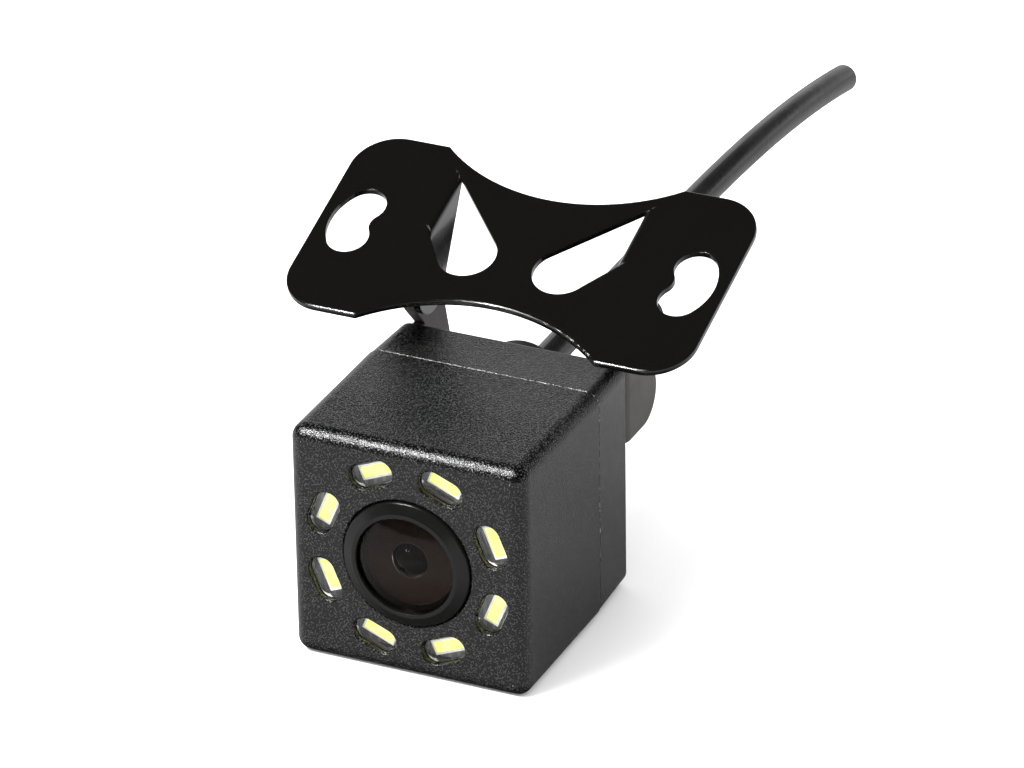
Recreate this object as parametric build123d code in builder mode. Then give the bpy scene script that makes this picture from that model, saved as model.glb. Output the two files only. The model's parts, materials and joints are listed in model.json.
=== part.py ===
from build123d import *
import math
import os

os.makedirs("parts", exist_ok=True)

# Backup camera on a butterfly bracket. Millimetres, +Z up, lens looking along -Y.
# The origin is the centre of the bracket's top face, which lies against the vehicle.

# ---- driving dimensions: bracket ------------------------------------------------------
BRACKET_SHEET = 0.6
PLATE_TILT = 20.0
PLATE_LENGTH = 43.6
PLATE_WIDTH = 24.0
PLATE_CORNER = 4.6
WAIST_WIDTH = 15.0
WAIST_CHORD = 25.5
EDGE_BREAK = 0.2
SLOT_CENTRE = 14.65
SLOT_RADIUS = 3.85
SLOT_WIDTH = 4.3
SLOT_HALF_ANGLE = 35.0
WINDOW_END_X = 5.1
TONGUE_RADIUS = 3.0
TONGUE_LEAN = 47.3
TONGUE_ROOT_Y = 4.5
TONGUE_NOTCH = 1.1
BEND_INSIDE = 0.15
TAB_INNER_X = 9.9
PIVOT_DROP = 5.6
FIT = 0.01

# ---- driving dimensions: pivot --------------------------------------------------------
PIVOT_SCREW_RADIUS = 1.5
PIVOT_HOLE_RADIUS = 1.55
SIDE_PLAY = 0.1
PIVOT_HEAD_RADIUS = 2.75
PIVOT_HEAD_HEIGHT = 1.9
LOCK_WASHER = 0.6
WASHER_SPLIT = 0.5
WASHER_SPLIT_ANGLE = 20.0

# ---- driving dimensions: screw heads, as shares of head radius or head height ----------
HEAD_CROWN = 0.55
CROSS_LONG = 1.1
CROSS_WIDE = 0.3
CROSS_DEPTH = 0.6
CROSS_TAPER = 8.0
SHANK_TIP = 0.25

# ---- driving dimensions: camera head --------------------------------------------------
HEAD_SIZE = 25.0
HEAD_ROUND = 1.5
FRONT_Y = -27.0
LENS_Z = -21.1
SEAM_DEPTH = 17.7
WALL = 1.5
FRONT_WALL = 1.6
CAVITY = HEAD_SIZE - 2 * WALL
ARM_WIDE = 15.0
ARM_TALL = 14.6
COVER_FRONT = 24.9
COVER_DRAFT = 2.2
COVER_FLOOR = 1.8
COVER_CAVITY = 21.0
CORNER_SCREW_X = 9.2
CORNER_SCREW_Z = 9.4
BOARD_GAP = 0.3
SEAL_WIDTH = 0.7
SEAL_HEIGHT = 0.8
SEAL_OUTSIDE = 22.9
SEAL_ROUND = 1.0
SEAM_EASE = 0.12
RIM_EASE = 0.2
COVER_EASE = 0.5
COVER_ARM = 14.0
COVER_BOARD_GAP = 0.6
COVER_SCREW_RADIUS = 0.8
COVER_SCREW_LENGTH = 13.0
COVER_SCREW_DEPTH = 6.0
COVER_HEAD_RADIUS = 1.7
COUNTERSINK_LEAN = 45.0

# ---- driving dimensions: lights -------------------------------------------------------
LIGHT_COUNT = 8
LIGHT_CIRCLE = 9.6
LIGHT_START = 22.5
WINDOW_LONG = 4.7
WINDOW_SHORT = 2.7
LIGHT_PLUG_RECESS = 0.6
LIGHT_PLUG_GAP = 0.05
LIGHT_PLUG_EASE = 0.1
LIGHT_DEPTH = 1.75
LIGHT_HEIGHT = 0.75
LIGHT_LONG = 3.6
LIGHT_SHORT = 1.6
PHOSPHOR_LONG = 3.15
PHOSPHOR_SHORT = 1.15
PHOSPHOR_THICK = 0.25
LIGHT_BOARD_THICK = 0.8

# ---- driving dimensions: lens ---------------------------------------------------------
RING_RADIUS = 6.7
RING_SKIRT = 0.2
RING_CREST = 0.65
RING_CREST_RADIUS = 5.6
RING_BACK = 2.2
BARREL_RADIUS = 6.0
BARREL_END = 12.2
BARREL_BORE = 4.6
RING_GAP = 0.1
RING_EASE = 0.2
CREST_EASE = 0.1
SLEEVE_RADIUS = 7.7
SLEEVE_STEP = 2.9
SLEEVE_END = 3.9
GLASS_RADIUS = 5.6
GLASS_OPENING = 5.2
GLASS_CURVE = 14.0
GLASS_HOLLOW = 2.1
HOLLOW_SHARE = 0.32
BULGE_SHARE = 0.85
GLASS_FRONT = -0.1
GLASS_BACK = 1.2
GLASS_SEAT = -0.12
GLASS_LIP = -0.32
APERTURE_RADIUS = 1.8
APERTURE_FLARE = 0.3
APERTURE_BACK = 1.6
INNER_GLASS_RADIUS = 4.55
MIDDLE_FRONT = 2.8
MIDDLE_BACK = 3.6
MIDDLE_CURVE = 12.0
SPACER_BORE = 3.9
SPACER_END = 8.9
REAR_FRONT = 9.2
REAR_BACK = 10.0
REAR_CURVE = 11.0
FILTER_THICK = 0.3
O_RING_RADIUS = 0.33
O_RING_CIRCLE = 6.45
O_RING_DEPTH = 2.55
HOLDER_FRONT = 6.0
HOLDER_SIZE = 14.0
HOLDER_ROUND = 1.0
HOLDER_NECK = 6.9
HOLDER_BASE = 11.6
HOLDER_SCREWS = [(-6.0, 0), (6.0, 0)]
HOLDER_SCREW_RADIUS = 0.6
HOLDER_SCREW_BITE = 1.2
HOLDER_HEAD_RADIUS = 1.2
HOLDER_HEAD_HEIGHT = 0.8
SENSOR_SPACE = 10.0
SENSOR_WIDE = 7.5
SENSOR_TALL = 6.6
SENSOR_THICK = 0.9
SENSOR_BOARD_DEPTH = 13.6
SENSOR_BOARD_THICK = 1.0
POWER_BOARD_DEPTH = 18.6
POWER_BOARD_THICK = 1.0
STANDOFFS = [(-8.6, -5.0), (-8.6, 5.0), (8.6, -5.0), (8.6, 5.0)]
STANDOFF_RADIUS = 1.3
PIN_RADIUS = 0.6
CHIP_SIZE = 7.0
CHIP_THICK = 1.0
CHIP_EASE = 0.15
CHIP_Z = -4.5
CAPACITOR_RADIUS = 2.0
CAPACITOR_HEIGHT = 3.2
CAPACITOR_X = 3.2
CAPACITOR_Z = -7.0
CAPACITOR_EASE = 0.3
CONNECTOR_WIDE = 7.0
CONNECTOR_TALL = 3.6
CONNECTOR_HEIGHT = 2.0
WIRE_PLUG = 0.8

# ---- driving dimensions: yoke and cable -----------------------------------------------
YOKE_BOTTOM = 2.8
YOKE_TOP = 11.0
YOKE_BACK = 33.15
YOKE_CORNER = 3.2
YOKE_LOBE = 3.1
YOKE_SHEET = 1.2
YOKE_BEND_INSIDE = 0.5
YOKE_THROAT = 0.5
YOKE_SCREW_X = 7.2
YOKE_SCREW_RADIUS = 1.0
YOKE_SCREW_LENGTH = 4.5
YOKE_HEAD_RADIUS = 2.0
YOKE_HEAD_HEIGHT = 1.4
YOKE_BOSS_RADIUS = 1.9
YOKE_BOSS_HEIGHT = 2.2
SCREW_CLEARANCE = 0.1
CABLE_Z = 6.5
GLAND_NECK = 3.3
GLAND_DOME = 4.5
GLAND_LENGTH = 3.6
GLAND_SHOULDER = 1.6
GLAND_NOSE = 2.3
GLAND_ROUND = 0.8
GLAND_FLANGE = 3.9
CABLE_RADIUS = 1.5
CABLE_BORE = 1.05
WIRE_RADIUS = 0.45
WIRE_CIRCLE = 0.55
CABLE_STRAIGHT = 30.6
CABLE_LENGTH = 112.0
CABLE_LIFT = 2.05
CABLE_DROOP = 3.4
GLAND_INNER = 22.2

# ---- derived places -------------------------------------------------------------------
HEAD_BACK = HEAD_SIZE
PLATE_TOP = Plane(origin=(0, 0, 0), x_dir=(1, 0, 0), z_dir=Vector(0, 0, 1).rotate(Axis.X, PLATE_TILT))
LEAN = math.radians(TONGUE_LEAN)
BEND_START_X = TAB_INNER_X + BRACKET_SHEET + BEND_INSIDE
PIVOT_V = TONGUE_ROOT_Y - PIVOT_DROP * math.tan(LEAN)
PIVOT = PLATE_TOP.from_local_coords(Vector(0, PIVOT_V, -PIVOT_DROP))
PIVOT_DEPTH = PIVOT.Y - FRONT_Y
PIVOT_RISE = PIVOT.Z - LENS_Z
TAB_OUTER_X = TAB_INNER_X + BRACKET_SHEET
EAR_INNER_X = TAB_OUTER_X + SIDE_PLAY
EAR_OUTER_X = EAR_INNER_X + YOKE_SHEET
EAR_START = HEAD_BACK + YOKE_SHEET + YOKE_BEND_INSIDE + YOKE_THROAT
CONNECTOR_BACK = POWER_BOARD_DEPTH + POWER_BOARD_THICK + CONNECTOR_HEIGHT
OPTICAL_AXIS = Axis((0, FRONT_Y, LENS_Z), (0, 1, 0))
CORNER_SCREWS = [
    (side * CORNER_SCREW_X, level * CORNER_SCREW_Z) for side in (-1, 1) for level in (-1, 1)
]


def facing(depth):
    """Plane across the head at a depth behind its front face, local +Y up, normal to the front."""
    return Plane(origin=(0, FRONT_Y + depth, LENS_Z), x_dir=(1, 0, 0), z_dir=(0, -1, 0))


def side_plane(x):
    """Plane facing +X at x: local X is depth behind the front face, local Y is height over the lens."""
    return Plane(origin=(x, FRONT_Y, LENS_Z), x_dir=(0, 1, 0), z_dir=(1, 0, 0))


def pan_screw(shank_radius, length, head_radius, head_height):
    """Pan head screw with a cross recess, seated on Z = 0 with its shank along -Z."""
    with BuildPart() as screw:
        with BuildSketch(Plane.XY):
            Circle(head_radius)
        extrude(amount=head_height)
        fillet(screw.edges().sort_by(Axis.Z)[-1], head_height * HEAD_CROWN)
        with BuildSketch(Plane.XY):
            Circle(shank_radius)
        extrude(amount=-length)
        chamfer(screw.edges().sort_by(Axis.Z)[0], shank_radius * SHANK_TIP)
        with BuildSketch(Plane.XY.offset(head_height)):
            Rectangle(head_radius * CROSS_LONG, head_radius * CROSS_WIDE)
            Rectangle(head_radius * CROSS_WIDE, head_radius * CROSS_LONG)
        extrude(amount=-head_height * CROSS_DEPTH, taper=CROSS_TAPER, mode=Mode.SUBTRACT)
    return screw.part


def countersunk_screw(shank_radius, length, head_radius):
    """Countersunk screw with a cross recess, its flat top on Z = 0 and its shank along -Z."""
    cone = head_radius - shank_radius
    with BuildPart() as screw:
        with BuildSketch(Plane.XZ):
            with BuildLine():
                Polyline(
                    (0, 0),
                    (head_radius, 0),
                    (shank_radius, -cone),
                    (shank_radius, -length),
                    (0, -length),
                    close=True,
                )
            make_face()
        revolve(axis=Axis.Z)
        with BuildSketch(Plane.XY):
            Rectangle(head_radius * CROSS_LONG, head_radius * CROSS_WIDE)
            Rectangle(head_radius * CROSS_WIDE, head_radius * CROSS_LONG)
        extrude(amount=-cone * CROSS_DEPTH, taper=CROSS_TAPER, mode=Mode.SUBTRACT)
    return screw.part


def spring_washer(inner_radius, outer_radius, height):
    """Split lock washer lying on Z = 0."""
    with BuildPart() as washer:
        with BuildSketch(Plane.XY):
            Circle(outer_radius)
            Circle(inner_radius, mode=Mode.SUBTRACT)
            with Locations((0, outer_radius)):
                Rectangle(
                    WASHER_SPLIT,
                    outer_radius * 2 - inner_radius,
                    rotation=WASHER_SPLIT_ANGLE,
                    mode=Mode.SUBTRACT,
                )
        extrude(amount=height)
    return washer.part


# ======================================================================================
# Bracket: one sheet stamped with a bow-tie outline, two kidney slots and two folded tabs
# ======================================================================================


def bow_tie():
    """Plate outline: straight ends, round corners, and a concave waist front and back."""
    waist_depth = (PLATE_WIDTH - WAIST_WIDTH) / 2
    waist_radius = (WAIST_CHORD**2 / 4 + waist_depth**2) / (2 * waist_depth)
    with BuildSketch() as outline:
        RectangleRounded(PLATE_LENGTH, PLATE_WIDTH, PLATE_CORNER)
        with Locations(
            (0, WAIST_WIDTH / 2 + waist_radius),
            (0, -WAIST_WIDTH / 2 - waist_radius),
        ):
            Circle(waist_radius, mode=Mode.SUBTRACT)
    return outline.sketch


def kidney_slots():
    """Two curved slots bulging towards the plate's ends, for turning the bracket on its screws."""
    with BuildSketch() as slots:
        SlotArc(
            CenterArc((SLOT_CENTRE, 0), SLOT_RADIUS, -SLOT_HALF_ANGLE, 2 * SLOT_HALF_ANGLE),
            SLOT_WIDTH,
        )
        mirror(about=Plane.YZ)
    return slots.sketch


def tongue_windows():
    """Openings left in the plate where the two tongues were cut free and folded down."""
    run = BEND_START_X - WINDOW_END_X
    end = Vector(WINDOW_END_X, TONGUE_ROOT_Y - run * math.tan(LEAN))
    side = TONGUE_RADIUS * Vector(-math.sin(LEAN), math.cos(LEAN))
    half = TONGUE_RADIUS / math.cos(LEAN)
    with BuildSketch() as windows:
        with BuildLine():
            Polyline(
                end + side,
                (BEND_START_X, TONGUE_ROOT_Y + half),
                (BEND_START_X, TONGUE_ROOT_Y - half + TONGUE_NOTCH),
                end - side,
                close=True,
            )
        make_face()
        with Locations(end):
            Circle(TONGUE_RADIUS)
        mirror(about=Plane.YZ)
    return windows.sketch


def tab_side():
    """Side view of a folded tongue: X along the plate's width, Y up from the plate's top face."""
    half = TONGUE_RADIUS / math.cos(LEAN)
    side = TONGUE_RADIUS * Vector(math.cos(LEAN), -math.sin(LEAN))
    tip = Vector(PIVOT_V, -PIVOT_DROP)
    with BuildSketch() as outline:
        with BuildLine():
            Polyline(
                (TONGUE_ROOT_Y - half + TONGUE_NOTCH, 0),
                (TONGUE_ROOT_Y + half, 0),
                tip + side,
                tip - side,
                close=True,
            )
        make_face()
        with Locations(tip):
            Circle(TONGUE_RADIUS)
            Circle(PIVOT_SCREW_RADIUS + FIT, mode=Mode.SUBTRACT)
    return outline.sketch


def folded_tab():
    """Right-hand tongue with its bend, in plate coordinates."""
    bend_outside = BEND_INSIDE + BRACKET_SHEET
    reach = PIVOT_DROP + TONGUE_RADIUS
    with BuildPart() as tab:
        with BuildSketch(Plane.XZ):
            with BuildLine():
                Line((BEND_START_X, -BRACKET_SHEET), (BEND_START_X, 0))
                CenterArc((BEND_START_X, -bend_outside), bend_outside, 90, 90)
                Polyline(
                    (TAB_INNER_X, -bend_outside),
                    (TAB_INNER_X, -reach),
                    (TAB_OUTER_X, -reach),
                    (TAB_OUTER_X, -bend_outside),
                )
                CenterArc((BEND_START_X, -bend_outside), BEND_INSIDE, 180, -90)
            make_face()
        extrude(amount=PLATE_WIDTH, both=True)
        with BuildSketch(Plane.YZ):
            add(tab_side())
        extrude(amount=PLATE_LENGTH / 2, mode=Mode.INTERSECT)
    return tab.part


def flat_bracket():
    """The whole bracket in plate coordinates, top face on Z = 0."""
    tab = folded_tab()
    with BuildPart() as blank:
        with BuildSketch(Plane.XY):
            add(bow_tie())
        extrude(amount=-BRACKET_SHEET)
        fillet(blank.faces().sort_by(Axis.Z)[-1].edges(), EDGE_BREAK)
        with BuildSketch(Plane.XY):
            add(kidney_slots())
            add(tongue_windows())
        extrude(amount=-BRACKET_SHEET, mode=Mode.SUBTRACT)
        add(tab)
        add(tab.mirror(Plane.YZ))
    return blank.part


with BuildPart() as mounting_bracket:
    with Locations(PLATE_TOP.location):
        add(flat_bracket())
mounting_bracket.part.label = "mounting_bracket"
export_step(mounting_bracket.part, "parts/mounting_bracket.step")

# ======================================================================================
# Pivot: on each side a screw through a lock washer and an ear, threaded into a tab
# ======================================================================================

# turns +Z into +X and -X, for pieces that point out of the right and left sides
OUTWARD = [(1, (0, 90, 0)), (-1, (0, -90, 0))]


def pivot_places(x):
    """Places on the pivot axis at +x and -x, local Z pointing away from the middle."""
    return [Location((side * x, PIVOT.Y, PIVOT.Z), turn) for side, turn in OUTWARD]


pivot_seat_x = EAR_OUTER_X + LOCK_WASHER
pivot_screw_length = pivot_seat_x - TAB_INNER_X
pivot_screw = pan_screw(PIVOT_SCREW_RADIUS, pivot_screw_length, PIVOT_HEAD_RADIUS, PIVOT_HEAD_HEIGHT)
with BuildPart() as pivot_screws:
    with Locations(*pivot_places(pivot_seat_x)):
        add(pivot_screw)
pivot_screws.part.label = "pivot_screws"
export_step(pivot_screws.part, "parts/pivot_screws.step")

lock_washer = spring_washer(PIVOT_HOLE_RADIUS, PIVOT_HEAD_RADIUS, LOCK_WASHER)
with BuildPart() as lock_washers:
    with Locations(*pivot_places(EAR_OUTER_X)):
        add(lock_washer)
lock_washers.part.label = "lock_washers"
export_step(lock_washers.part, "parts/lock_washers.step")

# ======================================================================================
# Yoke: a U of sheet screwed to the back of the head, its ears outside the bracket's tabs
# ======================================================================================


def ear_outline():
    """Side view of one ear: X is depth behind the head's front face, Y is height over the lens."""
    pivot = Vector(PIVOT_DEPTH, PIVOT_RISE)
    corner = Vector(YOKE_BACK - YOKE_CORNER, YOKE_BOTTOM + YOKE_CORNER)
    throat = Vector(EAR_START, YOKE_TOP)
    lobe_ring = Edge.make_circle(YOKE_LOBE, Plane(pivot))
    corner_ring = Edge.make_circle(YOKE_CORNER, Plane(corner))
    with BuildSketch() as outline:
        with BuildLine():
            front = ConstrainedLines(
                lobe_ring, throat, selector=lambda found: found.sort_by(Axis.X)[0]
            ).edge()
            back = ConstrainedLines(
                lobe_ring, corner_ring, selector=lambda found: found.sort_by(Axis.X)[-1]
            ).edge()
            front_touch = front.vertices().sort_by(Axis.Y)[-1]
            low = back.vertices().sort_by(Axis.Y)[0]
            high = back.vertices().sort_by(Axis.Y)[-1]
            corner_middle = corner + Vector(YOKE_CORNER, 0).rotate(Axis.Z, -45)
            ThreePointArc(front_touch, pivot + Vector(0, YOKE_LOBE), high)
            ThreePointArc(low, corner_middle, (corner.X, YOKE_BOTTOM))
            Polyline((corner.X, YOKE_BOTTOM), (EAR_START, YOKE_BOTTOM), throat)
        make_face()
        with Locations(pivot):
            Circle(PIVOT_HOLE_RADIUS, mode=Mode.SUBTRACT)
    return outline.sketch


with BuildPart() as yoke:
    with BuildSketch(Plane(origin=(0, FRONT_Y, LENS_Z + YOKE_BOTTOM))):
        with BuildLine():
            strip = FilletPolyline(
                (EAR_OUTER_X, EAR_START),
                (EAR_OUTER_X, HEAD_BACK),
                (-EAR_OUTER_X, HEAD_BACK),
                (-EAR_OUTER_X, EAR_START),
                radius=YOKE_BEND_INSIDE + YOKE_SHEET,
            )
            offset(strip, amount=-YOKE_SHEET, side=Side.RIGHT)
        make_face()
    extrude(amount=YOKE_TOP - YOKE_BOTTOM)
    with BuildSketch(side_plane(EAR_INNER_X), side_plane(-EAR_OUTER_X)):
        add(ear_outline())
    extrude(amount=YOKE_SHEET)
    with BuildSketch(facing(HEAD_BACK)):
        with Locations((0, CABLE_Z)):
            Circle(GLAND_NECK)
            with GridLocations(2 * YOKE_SCREW_X, 0, 2, 1):
                Circle(YOKE_SCREW_RADIUS + SCREW_CLEARANCE)
    extrude(amount=-YOKE_SHEET, mode=Mode.SUBTRACT)
yoke.part.label = "yoke"
export_step(yoke.part, "parts/yoke.step")

# ======================================================================================
# Housing: a square front shell, a tapered rear cover, a gasket and four corner screws
# ======================================================================================


def cavity_outline(gap):
    """Cross-shaped space inside the head between its four corner screw columns."""
    with BuildSketch() as outline:
        Rectangle(CAVITY - 2 * gap, ARM_WIDE - 2 * gap)
        Rectangle(ARM_TALL - 2 * gap, CAVITY - 2 * gap)
    return outline.sketch


def light_openings(gap):
    """Eight rounded slots on a circle round the lens, each lying along the circle."""
    with BuildSketch() as openings:
        with PolarLocations(LIGHT_CIRCLE, LIGHT_COUNT, start_angle=LIGHT_START):
            SlotOverall(WINDOW_LONG - 2 * gap, WINDOW_SHORT - 2 * gap, rotation=90)
    return openings.sketch


def light_rectangles(long_side, short_side):
    """One rectangle behind each light opening, its long side along the circle."""
    with BuildSketch() as rectangles:
        with PolarLocations(LIGHT_CIRCLE, LIGHT_COUNT, start_angle=LIGHT_START):
            Rectangle(short_side, long_side)
    return rectangles.sketch


def screw_circles(radius):
    """Circles at the four corner screws."""
    with BuildSketch() as circles:
        with Locations(*CORNER_SCREWS):
            Circle(radius)
    return circles.sketch


def seal_ring(gap):
    """Square ring that the gasket fills, between the shell and the cover."""
    outside = SEAL_OUTSIDE - 2 * gap
    inside = SEAL_OUTSIDE - 2 * SEAL_WIDTH + 2 * gap
    with BuildSketch() as ring:
        RectangleRounded(outside, outside, SEAL_ROUND)
        RectangleRounded(inside, inside, SEAL_ROUND - SEAL_WIDTH / 2, mode=Mode.SUBTRACT)
    return ring.sketch


with BuildPart() as front_housing:
    with BuildSketch(facing(0)):
        Rectangle(HEAD_SIZE, HEAD_SIZE)
    extrude(amount=-SEAM_DEPTH)
    long_edges = front_housing.edges().filter_by(Axis.Y)
    front_edges = front_housing.faces().sort_by(Axis.Y)[0].edges()
    fillet(long_edges + front_edges, HEAD_ROUND)
    chamfer(front_housing.faces().sort_by(Axis.Y)[-1].edges(), SEAM_EASE)
    with BuildSketch(facing(FRONT_WALL)):
        add(cavity_outline(0))
    extrude(amount=-SEAM_DEPTH, mode=Mode.SUBTRACT)
    with BuildSketch(facing(FRONT_WALL)):
        Circle(SLEEVE_RADIUS)
    extrude(amount=-(SLEEVE_END - FRONT_WALL))
    with BuildSketch(facing(0)):
        Circle(RING_RADIUS + RING_GAP)
    extrude(amount=-SLEEVE_STEP, mode=Mode.SUBTRACT)
    with BuildSketch(facing(SLEEVE_STEP)):
        Circle(BARREL_RADIUS + RING_GAP)
    extrude(amount=-(SLEEVE_END - SLEEVE_STEP), mode=Mode.SUBTRACT)
    with BuildSketch(facing(0)):
        add(light_openings(0))
    extrude(amount=-FRONT_WALL, mode=Mode.SUBTRACT)
    rims = front_housing.edges().group_by(Axis.Y)[0].filter_by(
        lambda rim: (rim.center() - Vector(0, FRONT_Y, LENS_Z)).length < HEAD_SIZE / 2 - HEAD_ROUND
    )
    fillet(rims, RIM_EASE)
    with BuildSketch(facing(SEAM_DEPTH - SEAL_HEIGHT)):
        add(seal_ring(0))
    extrude(amount=-SEAL_HEIGHT, mode=Mode.SUBTRACT)
    with BuildSketch(facing(SEAM_DEPTH)):
        add(screw_circles(COVER_SCREW_RADIUS + FIT))
    extrude(amount=COVER_SCREW_DEPTH, mode=Mode.SUBTRACT)
front_housing.part.label = "front_housing"
export_step(front_housing.part, "parts/front_housing.step")

with BuildPart() as rear_cover:
    with BuildSketch(facing(SEAM_DEPTH)):
        RectangleRounded(COVER_FRONT, COVER_FRONT, HEAD_ROUND)
    extrude(amount=-(HEAD_BACK - SEAM_DEPTH), taper=COVER_DRAFT)
    fillet(rear_cover.faces().sort_by(Axis.Y)[-1].edges(), COVER_EASE)
    chamfer(rear_cover.faces().sort_by(Axis.Y)[0].edges(), SEAM_EASE)
    with BuildSketch(facing(SEAM_DEPTH)):
        Rectangle(COVER_CAVITY, COVER_ARM)
        Rectangle(COVER_ARM, COVER_CAVITY)
    extrude(amount=-(HEAD_BACK - COVER_FLOOR - SEAM_DEPTH), mode=Mode.SUBTRACT)
    with BuildSketch(facing(HEAD_BACK - COVER_FLOOR)):
        with Locations((-YOKE_SCREW_X, CABLE_Z), (YOKE_SCREW_X, CABLE_Z)):
            Circle(YOKE_BOSS_RADIUS)
    extrude(amount=YOKE_BOSS_HEIGHT)
    with BuildSketch(facing(HEAD_BACK)):
        with Locations((-YOKE_SCREW_X, CABLE_Z), (YOKE_SCREW_X, CABLE_Z)):
            Circle(YOKE_SCREW_RADIUS + FIT)
    extrude(amount=COVER_FLOOR + YOKE_BOSS_HEIGHT, mode=Mode.SUBTRACT)
    with BuildSketch(facing(HEAD_BACK)):
        with Locations((0, CABLE_Z)):
            Circle(GLAND_NECK)
    extrude(amount=COVER_FLOOR, mode=Mode.SUBTRACT)
    with BuildSketch(facing(HEAD_BACK)):
        add(screw_circles(COVER_HEAD_RADIUS + SCREW_CLEARANCE))
    extrude(amount=COVER_HEAD_RADIUS - COVER_SCREW_RADIUS, taper=COUNTERSINK_LEAN, mode=Mode.SUBTRACT)
    with BuildSketch(facing(HEAD_BACK)):
        add(screw_circles(COVER_SCREW_RADIUS + SCREW_CLEARANCE))
    extrude(amount=HEAD_BACK - SEAM_DEPTH, mode=Mode.SUBTRACT)
rear_cover.part.label = "rear_cover"
export_step(rear_cover.part, "parts/rear_cover.step")

with BuildPart() as housing_seal:
    with BuildSketch(facing(SEAM_DEPTH)):
        add(seal_ring(FIT))
    extrude(amount=SEAL_HEIGHT - FIT)
housing_seal.part.label = "housing_seal"
export_step(housing_seal.part, "parts/housing_seal.step")

# turns a screw's head (+Z) towards the back of the head (+Y)
BACKWARD = (-90, 0, 0)

cover_screw = countersunk_screw(COVER_SCREW_RADIUS, COVER_SCREW_LENGTH, COVER_HEAD_RADIUS)
with BuildPart() as cover_screws:
    with Locations(*[Location((x, FRONT_Y + HEAD_BACK, LENS_Z + z), BACKWARD) for x, z in CORNER_SCREWS]):
        add(cover_screw)
cover_screws.part.label = "cover_screws"
export_step(cover_screws.part, "parts/cover_screws.step")

yoke_screw = pan_screw(YOKE_SCREW_RADIUS, YOKE_SCREW_LENGTH, YOKE_HEAD_RADIUS, YOKE_HEAD_HEIGHT)
with BuildPart() as yoke_screws:
    with Locations(
        *[
            Location((x, FRONT_Y + HEAD_BACK + YOKE_SHEET, LENS_Z + CABLE_Z), BACKWARD)
            for x in (-YOKE_SCREW_X, YOKE_SCREW_X)
        ]
    ):
        add(yoke_screw)
yoke_screws.part.label = "yoke_screws"
export_step(yoke_screws.part, "parts/yoke_screws.step")

# ======================================================================================
# Lights: eight clear windows over eight white packages on a board round the lens
# ======================================================================================

with BuildPart() as light_windows:
    with BuildSketch(facing(LIGHT_PLUG_RECESS)):
        add(light_openings(LIGHT_PLUG_GAP))
    extrude(amount=-(FRONT_WALL - LIGHT_PLUG_RECESS))
    fillet(light_windows.edges().group_by(Axis.Y)[0], LIGHT_PLUG_EASE)
light_windows.part.label = "light_windows"
export_step(light_windows.part, "parts/light_windows.step")

with BuildPart() as led_packages:
    with BuildSketch(facing(LIGHT_DEPTH)):
        add(light_rectangles(LIGHT_LONG, LIGHT_SHORT))
    extrude(amount=-LIGHT_HEIGHT)
    with BuildSketch(facing(LIGHT_DEPTH)):
        add(light_rectangles(PHOSPHOR_LONG, PHOSPHOR_SHORT))
    extrude(amount=-PHOSPHOR_THICK, mode=Mode.SUBTRACT)
led_packages.part.label = "led_packages"
export_step(led_packages.part, "parts/led_packages.step")

with BuildPart() as led_phosphors:
    with BuildSketch(facing(LIGHT_DEPTH + FIT)):
        add(light_rectangles(PHOSPHOR_LONG - 2 * FIT, PHOSPHOR_SHORT - 2 * FIT))
    extrude(amount=-(PHOSPHOR_THICK - FIT))
led_phosphors.part.label = "led_phosphors"
export_step(led_phosphors.part, "parts/led_phosphors.step")

with BuildPart() as led_board:
    with BuildSketch(facing(LIGHT_DEPTH + LIGHT_HEIGHT)):
        add(cavity_outline(BOARD_GAP))
        Circle(SLEEVE_RADIUS + BOARD_GAP, mode=Mode.SUBTRACT)
    extrude(amount=-LIGHT_BOARD_THICK)
led_board.part.label = "led_board"
export_step(led_board.part, "parts/led_board.step")

# ======================================================================================
# Lens: a flanged barrel holding three glass elements, screwed into a holder on the board
# ======================================================================================


def turned(*points):
    """Solid turned about the optical axis from (depth, radius) points."""
    with BuildPart() as solid:
        with BuildSketch(side_plane(0)):
            with BuildLine():
                Polyline(*points, close=True)
            make_face()
        revolve(axis=OPTICAL_AXIS)
    return solid.part


def sagitta(curve_radius, radius):
    """Depth of a spherical surface at a radius from its middle."""
    return curve_radius - math.sqrt(curve_radius**2 - radius**2)


def lens_element(front, back, radius, front_curve, back_curve, back_share):
    """Glass element with a cylindrical rim from front to back and a spherical face on each side.

    The front bulges forwards. The back face covers back_share of the radius inside a flat land;
    it bulges backwards for a positive curve radius and is hollow for a negative one.
    """
    front_top = front - sagitta(front_curve, radius)
    land = radius * back_share
    bulge = 1 if back_curve > 0 else -1
    back_top = back + bulge * sagitta(abs(back_curve), land)
    with BuildPart() as element:
        with BuildSketch(side_plane(0)):
            with BuildLine():
                ThreePointArc(
                    (front_top, 0),
                    (front_top + sagitta(front_curve, radius / 2), radius / 2),
                    (front, radius),
                )
                Polyline((front, radius), (back, radius), (back, land))
                ThreePointArc(
                    (back, land),
                    (back_top - bulge * sagitta(abs(back_curve), land / 2), land / 2),
                    (back_top, 0),
                )
                Line((back_top, 0), (front_top, 0))
            make_face()
        revolve(axis=OPTICAL_AXIS)
    return element.part


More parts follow.
